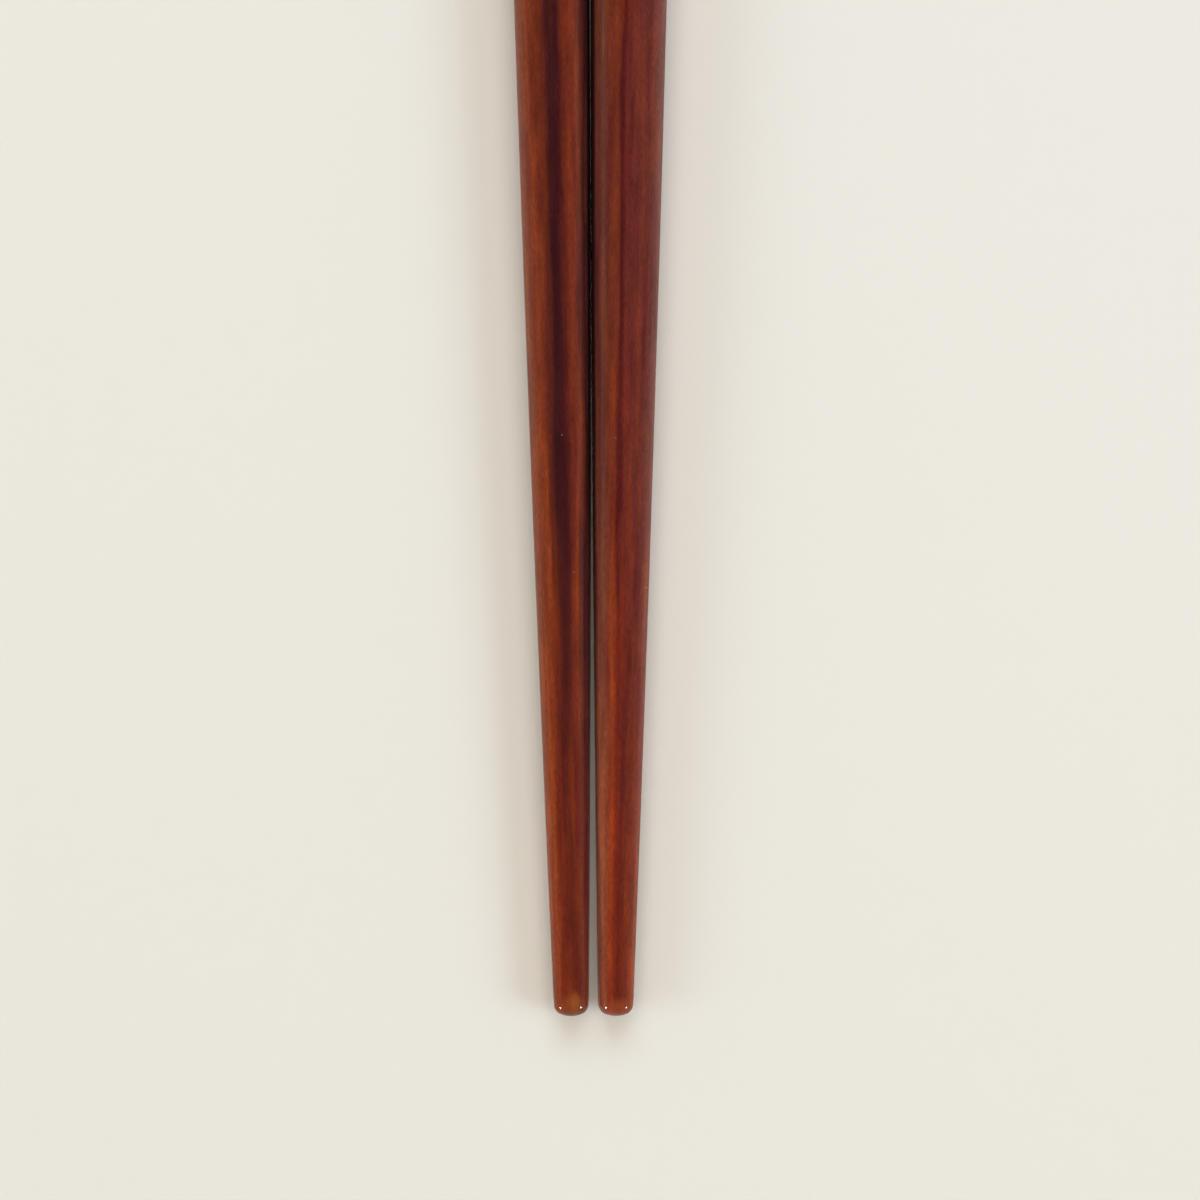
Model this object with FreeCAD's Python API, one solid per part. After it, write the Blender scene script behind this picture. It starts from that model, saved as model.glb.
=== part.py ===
import FreeCAD
import Part
import math
import os

# A pair of lacquered wooden chopsticks, lying side by side as they come to rest.
# Millimetres. +Z is up, the sticks lie along Y with their tips towards -Y, and the
# origin is on the table, under the middle of the pair.

# Driving sizes of one stick
stick_length = 230.0
tip_width = 2.9             # across opposite faces at the tip
butt_width = 7.9            # across opposite faces at the butt
taper_power = 2.4           # 1 gives a plain cone, more makes the stick swell sooner
face_count = 4              # a square section with its edges well rounded
tip_face_width = 1.05       # flat part of one face at the tip
butt_face_width = 3.0       # flat part of one face at the butt
tip_crown = 0.45            # how far the middle of the tip stands out
tip_edge_radius = 0.8
butt_edge_radius = 0.5

# How the two sticks lie
meeting_distance = 70.0     # from the tips to where the sides come together
side_clearance = 0.05       # between the two sides there
left_roll = -5.0            # degrees about the stick's own axis, 0 rests on a face
right_roll = 7.0            # the two rolls are opposite, so the sticks lean on each other

section_count = 13          # outlines that each stick is drawn through
fillet_share = 0.9          # most of half a width that an edge radius may take up

face_turn = 2 * math.pi / face_count
half_turn = face_turn / 2


def swell(distance):
    # Share of the taper reached at a distance from the tip: 0 at the tip, 1 at the butt.
    return 1 - (1 - distance / stick_length) ** taper_power


def swell_rate(distance):
    return taper_power / stick_length * (1 - distance / stick_length) ** (taper_power - 1)


def half_width(distance):
    return (tip_width + (butt_width - tip_width) * swell(distance)) / 2


def core_radius(distance):
    # Inner radius of the sharp polygon whose corners are the centres of the edge arcs.
    face_width = tip_face_width + (butt_face_width - tip_face_width) * swell(distance)
    return face_width / (2 * math.tan(half_turn))


def reach(distance, angle):
    # From the axis to the outermost line of the section, at an angle from a face's middle.
    core = core_radius(distance)
    corner = core / math.cos(half_turn)
    return half_width(distance) - core + corner * math.cos(half_turn - angle % face_turn)


def side_slope(distance, angle):
    # How steeply that line leaves the axis. It follows the swell from tip to butt.
    growth = reach(stick_length, angle) - reach(0, angle)
    return math.atan(growth * swell_rate(distance))


def outward(angle):
    # Unit direction across the stick, turned from straight down towards +X.
    return FreeCAD.Vector(math.sin(angle), 0, -math.cos(angle))


def section(distance):
    # One closed outline across the stick: flat faces joined by tangent arcs.
    core = core_radius(distance)
    edge_radius = half_width(distance) - core
    corner = core / math.cos(half_turn)
    along = FreeCAD.Vector(0, distance, 0)
    edges = []
    for i in range(face_count):
        facing = i * face_turn
        corner_before = along + outward(facing - half_turn) * corner
        corner_after = along + outward(facing + half_turn) * corner
        face_start = corner_before + outward(facing) * edge_radius
        face_end = corner_after + outward(facing) * edge_radius
        arc_middle = corner_after + outward(facing + half_turn) * edge_radius
        arc_end = corner_after + outward(facing + face_turn) * edge_radius
        edges.append(Part.LineSegment(face_start, face_end).toShape())
        edges.append(Part.Arc(face_end, arc_middle, arc_end).toShape())
    return Part.Wire(edges)


def tapered_bar():
    step = stick_length / (section_count - 1)
    outlines = [section(i * step) for i in range(section_count)]
    return Part.makeLoft(outlines, True, False)


def crown_trimmer():
    # A block round the tip with a ball taken out of it, which leaves the tip a shallow dome.
    rim = tip_width / 2
    ball_radius = (rim ** 2 + tip_crown ** 2) / (2 * tip_crown)
    ball = Part.makeSphere(ball_radius, FreeCAD.Vector(0, ball_radius, 0))
    corner = FreeCAD.Vector(-butt_width, -butt_width, -butt_width)
    block = Part.makeBox(2 * butt_width, butt_width + 2 * tip_crown, 2 * butt_width, corner)
    return block.cut(ball)


def edges_within(stick, from_y, to_y):
    found = []
    for edge in stick.Edges:
        box = edge.BoundBox
        if box.YMin >= from_y and box.YMax <= to_y:
            found.append(edge)
    return found


def chopstick():
    # Lies along +Y with its tip at the origin and a face underneath.
    stick = tapered_bar().cut(crown_trimmer())
    tip_radius = min(tip_edge_radius, fillet_share * tip_width / 2)
    butt_radius = min(butt_edge_radius, fillet_share * butt_width / 2)
    stick = stick.makeFillet(tip_radius, edges_within(stick, -tip_width, tip_width))
    butt_edges = edges_within(stick, stick_length - butt_radius, stick_length + butt_radius)
    return stick.makeFillet(butt_radius, butt_edges).Solids[0]


def lay_down(stick, roll, side):
    # Side is -1 for the left stick and 1 for the right. The underside is level below the
    # centre of mass, as the swelling stick balances there and its tip stands off the table.
    # The inner side runs straight ahead where the two sticks come together.
    origin = FreeCAD.Vector(0, 0, 0)
    balance_distance = stick.CenterOfMass.y
    turned = math.radians(roll)
    inner = turned - side * math.pi / 2
    pitch = math.degrees(side_slope(balance_distance, turned))
    yaw = -side * math.degrees(side_slope(meeting_distance, inner))
    laid = stick.copy()
    laid.rotate(origin, FreeCAD.Vector(0, 1, 0), roll)
    laid.rotate(origin, FreeCAD.Vector(1, 0, 0), pitch)
    laid.rotate(origin, FreeCAD.Vector(0, 0, 1), yaw)
    box = laid.optimalBoundingBox()
    inner_side = box.XMin if side > 0 else box.XMax
    laid.translate(FreeCAD.Vector(side * side_clearance / 2 - inner_side, 0, -box.ZMin))
    return laid


def main():
    left = lay_down(chopstick(), left_roll, -1)
    right = lay_down(chopstick(), right_roll, 1)
    box = Part.makeCompound([left, right]).optimalBoundingBox()
    to_origin = FreeCAD.Vector(-box.Center.x, -box.Center.y, 0)
    left.translate(to_origin)
    right.translate(to_origin)
    os.makedirs("parts", exist_ok=True)
    left.exportStep("parts/left_chopstick.step")
    right.exportStep("parts/right_chopstick.step")


main()
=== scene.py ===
import math
import bpy
from mathutils import Matrix, Vector, noise


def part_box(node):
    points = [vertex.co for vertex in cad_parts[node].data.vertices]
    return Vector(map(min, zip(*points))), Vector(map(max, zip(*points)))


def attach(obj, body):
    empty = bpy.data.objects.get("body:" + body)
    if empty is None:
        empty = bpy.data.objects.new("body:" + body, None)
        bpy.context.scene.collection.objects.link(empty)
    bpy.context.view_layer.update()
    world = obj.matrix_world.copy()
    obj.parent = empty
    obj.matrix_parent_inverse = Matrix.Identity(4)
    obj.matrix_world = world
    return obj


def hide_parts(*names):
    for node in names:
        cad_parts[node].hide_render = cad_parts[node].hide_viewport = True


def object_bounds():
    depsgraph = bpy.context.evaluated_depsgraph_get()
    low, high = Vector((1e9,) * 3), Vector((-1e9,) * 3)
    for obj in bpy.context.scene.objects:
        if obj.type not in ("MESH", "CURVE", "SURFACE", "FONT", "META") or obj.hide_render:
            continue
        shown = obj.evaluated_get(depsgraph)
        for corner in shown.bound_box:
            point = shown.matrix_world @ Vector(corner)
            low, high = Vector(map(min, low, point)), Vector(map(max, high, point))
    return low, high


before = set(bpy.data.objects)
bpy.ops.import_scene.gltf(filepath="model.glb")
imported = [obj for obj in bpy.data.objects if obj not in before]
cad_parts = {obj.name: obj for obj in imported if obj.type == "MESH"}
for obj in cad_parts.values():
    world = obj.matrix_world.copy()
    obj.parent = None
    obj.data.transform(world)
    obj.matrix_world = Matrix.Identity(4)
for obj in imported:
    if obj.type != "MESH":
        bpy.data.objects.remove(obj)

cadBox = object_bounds()  # the solids' box, before any piece is added
mm = 0.001


# colour and node helpers

def hexColour(text):
    # sRGB hex to the linear values that the shaders want
    channels = [int(text[i:i + 2], 16) / 255 for i in (0, 2, 4)]
    linear = [c / 12.92 if c <= 0.04045 else ((c + 0.055) / 1.055) ** 2.4 for c in channels]
    return (*linear, 1.0)


def addNode(tree, kind, settings=None, inputs=None, ramp=None):
    # inputs holds plain values or output sockets to link from, and ramp holds (place, colour) stops
    node = tree.nodes.new(kind)
    for name, value in (settings or {}).items():
        setattr(node, name, value)
    for name, value in (inputs or {}).items():
        socket = node.inputs[name]
        if isinstance(value, bpy.types.NodeSocket):
            tree.links.new(value, socket)
        else:
            socket.default_value = value
    if ramp:
        stops = node.color_ramp.elements
        node.color_ramp.interpolation = "EASE"
        stops.remove(stops[-1])
        stops[0].position = ramp[0][0]
        stops[0].color = hexColour(ramp[0][1])
        for place, colour in ramp[1:]:
            stops.new(place).color = hexColour(colour)
    return node


def newMaterial(name):
    material = bpy.data.materials.new(name)
    material.use_nodes = True
    material.node_tree.nodes.clear()
    return material, material.node_tree


# the shape of one stick, in millimetres, with the tip at the origin and the stick along +Y

stick = {
    "length": 230.0,
    "tipWidth": 2.9,       # across opposite faces
    "buttWidth": 7.9,
    "taperPower": 2.4,     # 1 gives a plain cone, more makes the stick swell sooner
    "tipFace": 1.05,       # flat part of a face
    "buttFace": 3.0,
    "tipCrown": 0.45,      # how far the middle of the tip stands out
    "tipEdge": 0.8,        # radius round the tip
    "buttEdge": 0.5,       # radius round the butt
    "meeting": 70.0,       # where the two sides come together, from the tips
}
# the shallow waves that sanding by hand leaves in the faces
sanding = {
    "depth": 0.015,
    "across": 0.3,         # waves in a millimetre
    "along": 0.045,
    "margin": 1.0,         # none this near to an end
    "fade": 3.0,           # and the full depth this much further in
}
# how finely the mesh is drawn, and in how many steps the centre of mass is summed up
detail = {"arcSteps": 18, "faceSteps": 8, "rings": 340, "edgeSteps": 12, "capSteps": 8,
          "balanceSteps": 400}


def swell(distance):
    # share of the taper reached at a distance from the tip
    return 1 - (1 - distance / stick["length"]) ** stick["taperPower"]


def halfWidth(distance):
    return (stick["tipWidth"] + (stick["buttWidth"] - stick["tipWidth"]) * swell(distance)) / 2


def coreRadius(distance):
    # half the sharp square whose corners are the centres of the edge arcs
    return (stick["tipFace"] + (stick["buttFace"] - stick["tipFace"]) * swell(distance)) / 2


def reach(distance, angle):
    # from the axis to the outermost line of the section, at an angle from a face's middle
    core = coreRadius(distance)
    corner = core * math.sqrt(2)
    return halfWidth(distance) - core + corner * math.cos(math.pi / 4 - angle % (math.pi / 2))


def sideSlope(distance, angle):
    rate = stick["taperPower"] / stick["length"]
    rate *= (1 - distance / stick["length"]) ** (stick["taperPower"] - 1)
    return math.atan((reach(stick["length"], angle) - reach(0, angle)) * rate)


def outlineDirections():
    # once round the section: a place on a core square of half width 1, and the outward normal
    places = []
    for i in range(4):
        facing = i * math.pi / 2
        normal = Vector((math.sin(facing), 0, -math.cos(facing)))
        along = Vector((math.cos(facing), 0, math.sin(facing)))
        for j in range(detail["faceSteps"]):
            share = -1 + 2 * j / detail["faceSteps"]
            places.append((normal + along * share, normal.copy()))
        corner = normal + along
        for j in range(detail["arcSteps"]):
            turn = facing + math.pi / 2 * j / detail["arcSteps"]
            places.append((corner, Vector((math.sin(turn), 0, -math.cos(turn)))))
    return places


def balanceDistance():
    # the centre of mass along the stick, from the section's area
    steps = detail["balanceSteps"]
    total = moment = 0.0
    for i in range(steps):
        place = stick["length"] * (i + 0.5) / steps
        half = halfWidth(place)
        edge = half - coreRadius(place)
        area = 4 * half ** 2 - (4 - math.pi) * edge ** 2
        total += area
        moment += area * place
    return moment / total


def sanded(point, seed):
    # moves a point only inwards, so that the piece stays inside its solid's box
    across, along = sanding["across"], sanding["along"]
    wave = noise.noise(Vector((point.x * across + seed, point.y * along, point.z * across)))
    fromEnd = min(point.y, stick["length"] - point.y) - sanding["margin"]
    fade = min(1, max(0, fromEnd) / sanding["fade"])
    inward = -Vector((point.x, 0, point.z)).normalized()
    return point + inward * (sanding["depth"] * (0.5 + 0.5 * wave) * fade)


def tipRings(places):
    # out over the shallow crown, then round its edge, where a small ball touches crown and side
    crown, edge = stick["tipCrown"], stick["tipEdge"]
    crownBall = ((stick["tipWidth"] / 2) ** 2 + crown ** 2) / (2 * crown)
    centres = []
    for core, normal in places:
        centre = core * coreRadius(0) + normal * (halfWidth(0) - coreRadius(0) - edge)
        centre.y = crownBall - math.sqrt((crownBall - edge) ** 2 - centre.x ** 2 - centre.z ** 2)
        centres.append(centre)
    outward = [(centre - Vector((0, crownBall, 0))).normalized() for centre in centres]
    rings = []
    for i in range(1, detail["capSteps"]):
        share = i / detail["capSteps"]
        ring = [(centre + away * edge) * share for centre, away in zip(centres, outward)]
        for point in ring:
            point.y = crownBall - math.sqrt(crownBall ** 2 - point.x ** 2 - point.z ** 2)
        rings.append(ring)
    for i in range(detail["edgeSteps"] + 1):
        share = i / detail["edgeSteps"]
        rings.append([centre + away.slerp(normal, share) * edge
                      for (core, normal), centre, away in zip(places, centres, outward)])
    return rings


def sideRings(places, tipRing):
    # along the faces, from the tip's edge to the butt's
    end = stick["length"] - stick["buttEdge"]
    rings = []
    for i in range(1, detail["rings"]):
        share = i / detail["rings"]
        ring = []
        for (core, normal), start in zip(places, tipRing):
            distance = start.y + (end - start.y) * share
            radius = coreRadius(distance)
            point = core * radius + normal * (halfWidth(distance) - radius)
            point.y = distance
            ring.append(point)
        rings.append(ring)
    return rings


def buttRings(places):
    # round the edge of the butt, then in over its flat end
    edge = stick["buttEdge"]
    distance = stick["length"] - edge
    radius = coreRadius(distance)
    flat = Vector((0, 1, 0))
    rings = []
    for i in range(detail["edgeSteps"] + 1):
        share = i / detail["edgeSteps"]
        ring = []
        for core, normal in places:
            centre = core * radius + normal * (halfWidth(distance) - radius - edge)
            centre.y = distance
            ring.append(centre + normal.slerp(flat, share) * edge)
        rings.append(ring)
    rim = rings[-1]
    for i in range(1, detail["capSteps"]):
        share = 1 - i / detail["capSteps"]
        rings.append([Vector((p.x * share, stick["length"], p.z * share)) for p in rim])
    return rings


def joinRings(rings):
    # one closed skin, with a fan of triangles in the middle of each end
    around = len(rings[0])
    points = [Vector((0, 0, 0))]
    for ring in rings:
        points.extend(ring)
    points.append(Vector((0, stick["length"], 0)))
    last = 1 + (len(rings) - 1) * around
    faces = []
    for i in range(around):
        after = (i + 1) % around
        faces.append((0, 1 + i, 1 + after))
        faces.append((last + after, last + i, len(points) - 1))
        for j in range(len(rings) - 1):
            low = 1 + j * around
            faces.append((low + after, low + i, low + around + i, low + around + after))
    return points, faces


def stickMesh(name, seed):
    places = outlineDirections()
    tip = tipRings(places)
    points, faces = joinRings(tip + sideRings(places, tip[-1]) + buttRings(places))
    mesh = bpy.data.meshes.new(name)
    mesh.from_pydata([sanded(point, seed) * mm for point in points], [], faces)
    mesh.validate()
    for polygon in mesh.polygons:
        polygon.use_smooth = True
    # the place in the wood that the grain is read from, which turns with the stick
    woodPlace = mesh.attributes.new("woodPlace", "FLOAT_VECTOR", "POINT")
    woodPlace.data.foreach_set("vector", [c for point in points for c in point])
    # how far to one side of the stick each point lies
    shares = [p.x / halfWidth(min(max(p.y, 0), stick["length"])) for p in points]
    sideShare = mesh.attributes.new("sideShare", "FLOAT", "POINT")
    sideShare.data.foreach_set("value", shares)
    return mesh


def placeStick(name, node, look):
    # lies level below its centre of mass, with the inner side straight ahead at the meeting place
    mesh = stickMesh(name, look["sandingSeed"])
    turned = math.radians(look["roll"])
    inner = turned - look["side"] * math.pi / 2
    pitch = sideSlope(balanceDistance(), turned)
    yaw = -look["side"] * sideSlope(stick["meeting"], inner)
    tilt = Matrix.Rotation(pitch, 4, "X") @ Matrix.Rotation(turned, 4, "Y")
    mesh.transform(Matrix.Rotation(yaw, 4, "Z") @ tilt)
    # the solid is drawn with flats inside its curves, so the piece shrinks a little to its box
    low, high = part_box(node)
    middle = (low + high) / 2
    least = [min(v.co[axis] for v in mesh.vertices) for axis in range(3)]
    most = [max(v.co[axis] for v in mesh.vertices) for axis in range(3)]
    fit = [min((high[axis] - low[axis]) / (most[axis] - least[axis]), 1) for axis in range(3)]
    print(name, "fits its solid at", [round(share, 5) for share in fit])
    own = (Vector(least) + Vector(most)) / 2
    shrink = Matrix.Diagonal((*fit, 1)) @ Matrix.Translation(-own)
    mesh.transform(Matrix.Translation(middle) @ shrink)
    piece = bpy.data.objects.new(name, mesh)
    bpy.context.scene.collection.objects.link(piece)
    return piece


# lacquered wood

# The figures of the wood and its lacquer: wave lengths across and along the stick in millimetres,
# and how finely each noise is broken up. The real pores are about 0.05 mm wide, too fine to show
# from here, so the fibres are drawn about twice as coarse.
grain = {
    "figures": {
        "wander": (2.2, 22.0, 3.0),    # slow bends of the growth layers
        "streak": (0.55, 14.0, 1.0),   # orange and dull streaks
        "fibre": (0.11, 0.55, 2.0),    # fibres and pores
        "cloud": (0.8, 3.2, 5.0),      # lighter and darker patches
        "peel": (0.5, 1.0, 2.0),       # orange peel of the lacquer
    },
    "breakUp": 0.6,
    "strength": 1.35,                  # brightness of the wood under the lacquer
    "fibre": 1.3,                      # how strongly the fibres shade it
    "cloud": 0.85,                     # how strongly the patches do
}
lacquer = {
    "coat": 0.45,                      # how much of the surface mirrors
    "coatRoughness": 0.05,
    "coatIor": 1.7,
    "bump": 0.2,
    "bumpDepth": 0.02,                 # mm
    "fibreRelief": 0.15,               # share of the fibres in the relief
    "woodRoughness": 0.4,
    "roughnessSpread": 0.08,
}
# Inside core, a share of its half widths, a spot is at full strength, and towards the underside it
# fades within sideFade millimetres of the stick's middle.
spotEdge = {"core": 0.3, "sideFade": 0.8}
# Colours run from the stick's left side to its right, one row for the body and one for the tip,
# and fade gives where one turns into the other, from the tip. Beside the wood's grain they hold
# painted shade and painted sheen, as noted at each row. A spot has its place to the side and
# from the tip, half widths across and along, strength and colour.
leftLook = {
    "roll": -5,                        # degrees, 0 rests on a face
    "side": -1,                        # -1 is the left stick and 1 the right
    "sandingSeed": 3.0,
    "grainSeed": 3.0,
    "wander": 0.7,                     # how far the growth layers bend
    # the last stops, on the inner side by the gap, are painted shade; the rest is the wood's grain
    "grainShadeAndSheen": [(0.0, "844327"), (0.24, "803b23"), (0.38, "5c261d"), (0.49, "3a181c"),
               (0.6, "42181c"), (0.73, "6a2b1f"), (0.82, "7a3623"), (0.9, "5a271f"),
               (0.96, "3c1d1f"), (1.0, "4c272b")],
    "tipGrainAndSheen": [(0.0, "904728"), (0.2, "924424"), (0.34, "762e1b"), (0.6, "6c2d1b"),
                  (1.0, "6e2f26")],
    "fade": (0, 48),
    "glow": [(0.32, "ceb8bc"), (0.5, "dcd0c6"), (0.68, "f4e4b2")],
    # the first two spots are pale specks at dust nibs, painted with the highlight each catches; the
    # last two are paler orange patches at the tip
    "spots": [(0.39, 50.2, 0.09, 0.09, 0.3, "d8a89a"), (1.17, 38.4, 0.1, 0.13, 0.25, "b07a6a"),
              (0.15, 0.9, 1.7, 1.4, 0.4, "96522a"), (0.5, 1.3, 0.6, 1.3, 0.36, "a5602a")],
    "endReach": 0.35,                  # how far from the tip the greyer colour reaches
    "endColour": "5c4a48",
}
rightLook = {
    "roll": 7,
    "side": 1,
    "sandingSeed": 11.0,
    "grainSeed": 21.0,
    "wander": 0.45,
    # painted light and sheen: the paler, bluer stops at the left edge lift the shade by the gap,
    # and the bluer right half is a painted sheen; the rest is the wood's grain
    "grainShadeAndSheen": [(0.0, "733e39"), (0.1, "693529"), (0.22, "6b2f22"), (0.31, "71311f"),
               (0.39, "521a1b"), (0.47, "682b26"), (0.75, "69312b"), (1.0, "743f39")],
    # the pale, bluish first stop at the left edge of the tip is a painted sheen
    "tipGrainAndSheen": [(0.0, "a35d4a"), (0.15, "8b462e"), (0.29, "933b1d"), (0.4, "762a1a"),
                  (0.52, "62231a"), (0.7, "6e2f23"), (1.0, "8c412d")],
    "fade": (5, 60),
    "glow": [(0.32, "ceb8be"), (0.5, "dcd4cc"), (0.7, "f4e4ba")],
    # the first two spots are pale specks at dust nibs, painted with the highlight each catches; the
    # third is a painted highlight, a thin pale line along the inner side; the last is a paler
    # orange patch at the tip
    "spots": [(-0.95, 49.9, 0.08, 0.08, 0.3, "dc9c74"), (1.94, 37.1, 0.13, 0.11, 0.35, "d08858"),
              (-2.49, 84.2, 0.12, 3.0, 0.2, "9c6048"), (0.15, 0.5, 1.7, 1.5, 0.55, "9e4c2c")],
    "endReach": 0.25,
    "endColour": "8a5a52",
}


def woodFigures(tree, wood, seed):
    # each figure is a noise drawn out along the stick
    figures = {}
    for label, (across, along, level) in grain["figures"].items():
        shift = seed + len(label)
        drawnOut = addNode(tree, "ShaderNodeMapping", inputs={
            "Vector": wood, "Scale": (1 / across, 1 / along, 1 / across),
            "Location": (shift, shift, shift)}).outputs["Vector"]
        figures[label] = addNode(tree, "ShaderNodeTexNoise", inputs={
            "Vector": drawnOut, "Scale": 1.0, "Detail": level,
            "Roughness": grain["breakUp"]}).outputs["Fac"]
    return figures


def grainColour(tree, look, figures, side, fromTip):
    # growth layers stand on edge across the stick, and wander along it; the colours across each
    # stick carry painted shade and sheen as well as grain
    meander = addNode(tree, "ShaderNodeMath", {"operation": "MULTIPLY_ADD"}, {
        0: figures["wander"], 1: look["wander"], 2: side}).outputs[0]
    acrossPlace = addNode(tree, "ShaderNodeMath", {"operation": "MULTIPLY_ADD"}, {
        0: meander, 1: 0.5, 2: 0.5 - look["wander"] / 4}).outputs[0]
    body = addNode(tree, "ShaderNodeValToRGB", inputs={"Fac": acrossPlace}, ramp=look["grainShadeAndSheen"])
    tip = addNode(tree, "ShaderNodeValToRGB", inputs={"Fac": acrossPlace}, ramp=look["tipGrainAndSheen"])
    fadeStart, fadeEnd = look["fade"]
    towardsButt = addNode(tree, "ShaderNodeMapRange", {"interpolation_type": "SMOOTHSTEP"}, {
        "Value": fromTip, "From Min": fadeStart, "From Max": fadeEnd})
    colour = addNode(tree, "ShaderNodeMix", {"data_type": "RGBA"}, {
        0: towardsButt.outputs["Result"], 6: tip.outputs["Color"],
        7: body.outputs["Color"]}).outputs[2]

    # streaks turn the colour from a dull red to a glowing orange
    glow = addNode(tree, "ShaderNodeValToRGB", inputs={"Fac": figures["streak"]}, ramp=look["glow"])
    colour = addNode(tree, "ShaderNodeMix", {"data_type": "RGBA", "blend_type": "MULTIPLY"}, {
        0: 1.0, 6: colour, 7: glow.outputs["Color"]}).outputs[2]

    # fine fibres and pores, and a cloudier figure over some millimetres
    fibre = addNode(tree, "ShaderNodeMath", {"operation": "MULTIPLY_ADD"}, {
        0: figures["fibre"], 1: grain["fibre"],
        2: grain["strength"] - grain["fibre"] / 2}).outputs[0]
    cloud = addNode(tree, "ShaderNodeMath", {"operation": "MULTIPLY_ADD"}, {
        0: figures["cloud"], 1: grain["cloud"], 2: 1 - grain["cloud"] / 2}).outputs[0]
    shade = addNode(tree, "ShaderNodeMath", {"operation": "MULTIPLY"}, {
        0: fibre, 1: cloud}).outputs[0]
    return addNode(tree, "ShaderNodeVectorMath", {"operation": "SCALE"}, {
        0: colour, "Scale": shade}).outputs["Vector"]


def marksOver(tree, look, colour, wood, place):
    # on the upper side: pale specks at dust nibs that the lacquer caught, painted with the
    # highlight each nib catches; a thin pale line along the right stick's inner side, a painted
    # highlight; and paler orange patches at the tips
    upper = addNode(tree, "ShaderNodeMapRange", {"interpolation_type": "SMOOTHSTEP"}, {
        "Value": place.outputs["Z"], "From Min": -spotEdge["sideFade"],
        "From Max": spotEdge["sideFade"]})
    for x, y, across, along, strength, tint in look["spots"]:
        away = addNode(tree, "ShaderNodeVectorMath", {"operation": "MULTIPLY_ADD"}, {
            0: wood, 1: (1 / across, 1 / along, 0.0), 2: (-x / across, -y / along, 0.0)})
        reached = addNode(tree, "ShaderNodeVectorMath", {"operation": "LENGTH"}, {
            0: away.outputs["Vector"]})
        inside = addNode(tree, "ShaderNodeMapRange", {"interpolation_type": "SMOOTHSTEP"}, {
            "Value": reached.outputs["Value"], "From Min": 1.0, "From Max": spotEdge["core"],
            "To Max": strength})
        spot = addNode(tree, "ShaderNodeMath", {"operation": "MULTIPLY"}, {
            0: inside.outputs["Result"], 1: upper.outputs["Result"]})
        colour = addNode(tree, "ShaderNodeMix", {"data_type": "RGBA"}, {
            0: spot.outputs[0], 6: colour, 7: hexColour(tint)}).outputs[2]

    # the very end of each tip turns greyer
    tipGreying = addNode(tree, "ShaderNodeMapRange", {"interpolation_type": "SMOOTHSTEP"}, {
        "Value": place.outputs["Y"], "From Min": look["endReach"], "From Max": 0.0})
    return addNode(tree, "ShaderNodeMix", {"data_type": "RGBA"}, {
        0: tipGreying.outputs["Result"], 6: colour, 7: hexColour(look["endColour"])}).outputs[2]


def lacqueredWood(name, look):
    # Close-grained wood, sanded smooth and wiped with a few thin coats of translucent lacquer. The
    # lacquer gives a deep wet gloss, and the wood shows through as soft orange and dark streaks
    # that run lengthwise; painted shade and sheen lie in the colour across each stick as well.
    # woodPlace is in millimetres from the tip, and sideShare is -1 at the left side and 1 at the
    # right.
    material, tree = newMaterial(name)
    wood = addNode(tree, "ShaderNodeAttribute", {"attribute_name": "woodPlace"}).outputs["Vector"]
    side = addNode(tree, "ShaderNodeAttribute", {"attribute_name": "sideShare"}).outputs["Fac"]
    place = addNode(tree, "ShaderNodeSeparateXYZ", inputs={"Vector": wood})
    figures = woodFigures(tree, wood, look["grainSeed"])
    colour = grainColour(tree, look, figures, side, place.outputs["Y"])
    colour = marksOver(tree, look, colour, wood, place)

    # The lacquer has a faint orange peel, and the fibres just show in it. The wood has soaked it up
    # and has no shine of its own.
    relief = addNode(tree, "ShaderNodeMath", {"operation": "MULTIPLY_ADD"}, {
        0: figures["fibre"], 1: lacquer["fibreRelief"], 2: figures["peel"]}).outputs[0]
    bump = addNode(tree, "ShaderNodeBump", inputs={
        "Height": relief, "Strength": lacquer["bump"], "Distance": lacquer["bumpDepth"] * mm})
    rough = addNode(tree, "ShaderNodeMath", {"operation": "MULTIPLY_ADD"}, {
        0: figures["peel"], 1: lacquer["roughnessSpread"],
        2: lacquer["woodRoughness"] - lacquer["roughnessSpread"] / 2}).outputs[0]
    shader = addNode(tree, "ShaderNodeBsdfPrincipled", inputs={
        "Base Color": colour, "Roughness": rough, "IOR": 1.5, "Specular IOR Level": 0.0,
        "Normal": bump.outputs["Normal"], "Coat Weight": lacquer["coat"],
        "Coat Roughness": lacquer["coatRoughness"], "Coat IOR": lacquer["coatIor"],
        "Coat Normal": bump.outputs["Normal"]})
    addNode(tree, "ShaderNodeOutputMaterial", inputs={"Surface": shader.outputs["BSDF"]})
    return material


leftStick = placeStick("left_lacquered_stick", "left_chopstick", leftLook)
leftStick.data.materials.append(lacqueredWood("lacquered wood, left", leftLook))
rightStick = placeStick("right_lacquered_stick", "right_chopstick", rightLook)
rightStick.data.materials.append(lacqueredWood("lacquered wood, right", rightLook))
for piece, node, slot in (
    (leftStick, "left_chopstick", "left_wood"),
    (rightStick, "right_chopstick", "right_wood"),
):
    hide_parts(node)
    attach(piece, "root")
print("sticks made")


# the pale ground

ground = {"colour": "eae6dc", "roughness": 0.9, "size": 1.7}  # size in metres


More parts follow.
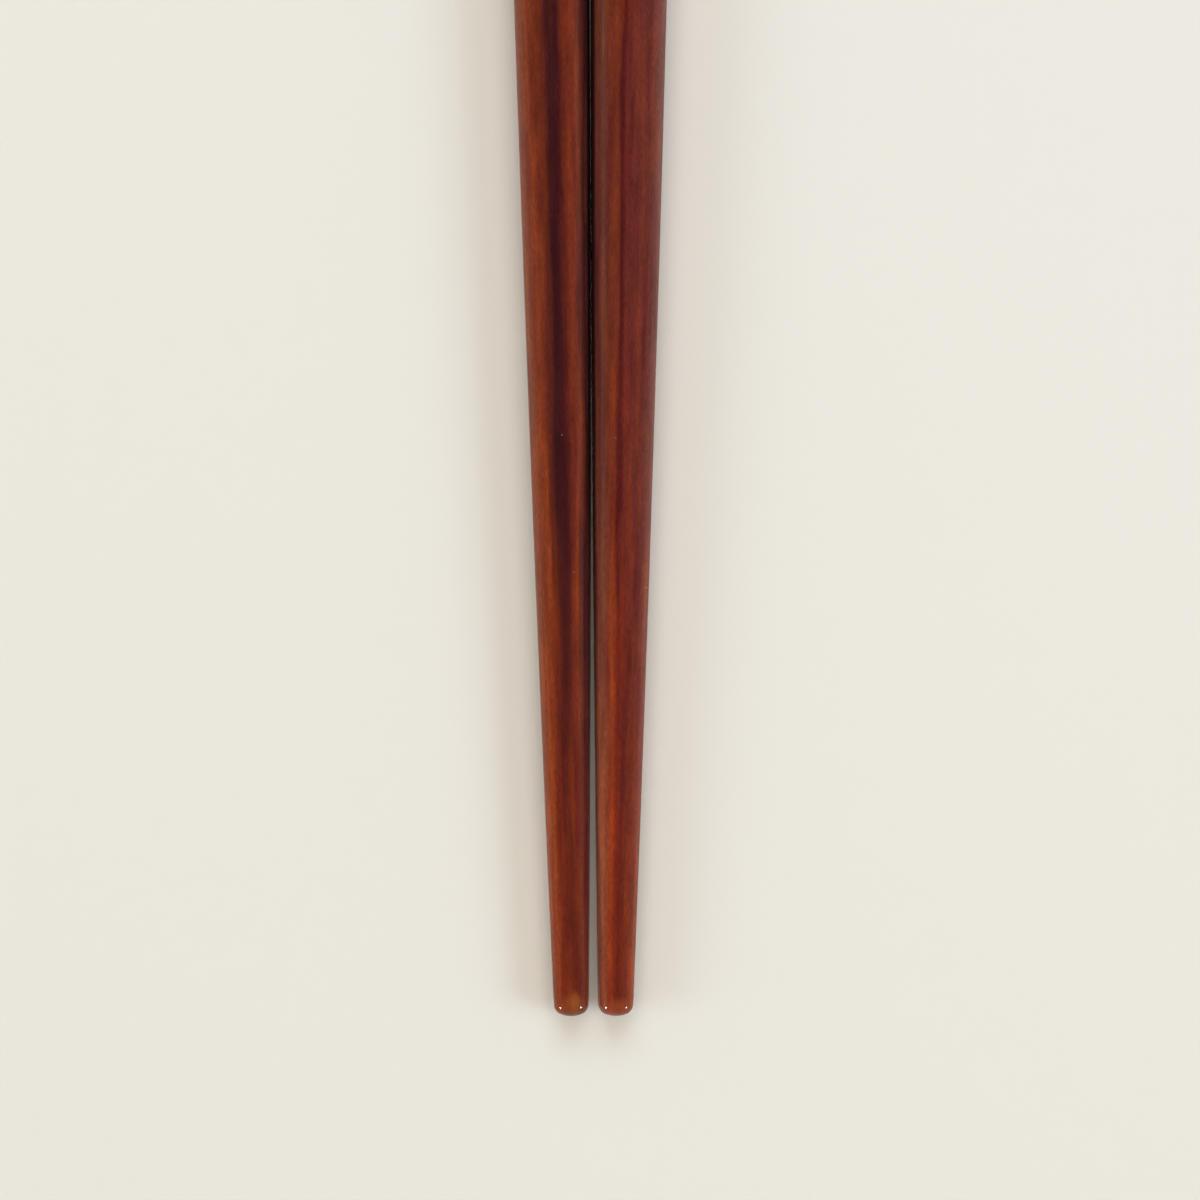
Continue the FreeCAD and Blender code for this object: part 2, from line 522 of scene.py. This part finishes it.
def makeGround():
    # Matt coated board: pressed fibre under a clay coating that dries without shine. It gives an
    # even, warm white that takes soft shadows and shows no reflection.
    half = ground["size"] / 2
    corners = [(-half, -half, 0), (half, -half, 0), (half, half, 0), (-half, half, 0)]
    mesh = bpy.data.meshes.new("ground")
    mesh.from_pydata(corners, [], [(0, 1, 2, 3)])
    floor = bpy.data.objects.new("ground", mesh)
    bpy.context.scene.collection.objects.link(floor)
    material, tree = newMaterial("matt coated board")
    shader = addNode(tree, "ShaderNodeBsdfPrincipled", inputs={
        "Base Color": hexColour(ground["colour"]), "Roughness": ground["roughness"],
        "Specular IOR Level": 0.0})
    addNode(tree, "ShaderNodeOutputMaterial", inputs={"Surface": shader.outputs["BSDF"]})
    mesh.materials.append(material)


makeGround()
print("ground made")


# camera straight above, placed by where the tips lie in the photograph

camera = {
    "pixel": 0.0865,           # millimetres of the object to one pixel
    "photoMiddle": 600,        # of 1200
    "tipsPixel": (592.0, 1016),
    "roll": -0.19,             # degrees
    "distance": 420.0,         # mm
    "silhouetteHeight": 3.0,   # mm above the table, where the sticks are widest
    "pairMiddle": -0.055,      # x of the gap between the sticks, mm
    "sensor": 36,              # mm
    "clipStart": 0.01,         # m
}


def makeCamera():
    tipsY = cadBox[0][1] / mm
    middle = camera["photoMiddle"]
    across = (camera["tipsPixel"][0] - middle) * camera["pixel"]
    down = (camera["tipsPixel"][1] - middle) * camera["pixel"]
    data = bpy.data.cameras.new("camera")
    data.sensor_width = camera["sensor"]
    data.lens = data.sensor_width * camera["distance"] / (2 * middle * camera["pixel"])
    data.clip_start = camera["clipStart"]
    seen = bpy.data.objects.new("camera", data)
    bpy.context.scene.collection.objects.link(seen)
    seen.location = (
        (camera["pairMiddle"] - across) * mm,
        (tipsY + down) * mm,
        (camera["distance"] + camera["silhouetteHeight"]) * mm,
    )
    seen.rotation_euler = (0, 0, math.radians(camera["roll"]))
    bpy.context.scene.camera = seen


makeCamera()
print("camera made")


# soft studio light, in metres and watts

# Four large lamps light the pair, and two small ones only put the glints on its tips. Towards
# points from the aim to the lamp, and the lamp looks back along it.
lampAim = (0, -0.08, 0)
lampDistance = 0.9
lamps = {
    "bounced fill": {"towards": (0, 0, 1), "size": 0.95, "watts": 3.55,
                     "colour": "ffe8bc", "glint": False},
    "back soft box": {"towards": (0, 0.8, 1.0), "size": 0.6, "watts": 3.45,
                      "colour": "d0e4ff", "glint": False},
    "left soft box": {"towards": (-1.0, -0.2, 0.7), "size": 0.45, "watts": 2.05,
                      "colour": "dbedff", "glint": False},
    "right soft box": {"towards": (1.0, -0.2, 0.9), "size": 0.45, "watts": 3.15,
                       "colour": "d9e9ff", "glint": False},
    "left glint": {"towards": (-1.0, -0.8, 0.7), "size": 0.25, "watts": 9.0,
                   "colour": "fff0e4", "glint": True},
    "right glint": {"towards": (1.0, -0.8, 0.9), "size": 0.25, "watts": 9.0,
                    "colour": "fff0e4", "glint": True},
}
# the room: pale walls that grow dim overhead, which keeps the reflections in the lacquer deep
wallColours = [(0.0, "ccc8c0"), (0.4, "a8a098"), (0.85, "4c4844")]


def areaLight(name, look):
    data = bpy.data.lights.new(name, "AREA")
    data.shape = "DISK"
    data.size = look["size"]
    data.energy = look["watts"]
    data.color = hexColour(look["colour"])[:3]
    lamp = bpy.data.objects.new(name, data)
    bpy.context.scene.collection.objects.link(lamp)
    away = Vector(look["towards"]).normalized()
    lamp.location = Vector(lampAim) + away * lampDistance
    lamp.rotation_euler = away.to_track_quat("Z", "Y").to_euler()
    lamp.visible_diffuse = not look["glint"]
    lamp.visible_glossy = look["glint"]


def makeRoom():
    world = bpy.data.worlds.new("studio")
    world.use_nodes = True
    room = world.node_tree
    room.nodes.clear()
    direction = addNode(room, "ShaderNodeTexCoord").outputs["Generated"]
    height = addNode(room, "ShaderNodeSeparateXYZ", inputs={"Vector": direction}).outputs["Z"]
    walls = addNode(room, "ShaderNodeValToRGB", inputs={"Fac": height}, ramp=wallColours)
    lit = addNode(room, "ShaderNodeBackground", inputs={
        "Color": walls.outputs["Color"], "Strength": 1.0})
    addNode(room, "ShaderNodeOutputWorld", inputs={"Surface": lit.outputs["Background"]})
    bpy.context.scene.world = world


for name, look in lamps.items():
    areaLight(name, look)
makeRoom()
bpy.context.scene.view_settings.view_transform = "Standard"
print("lights made")
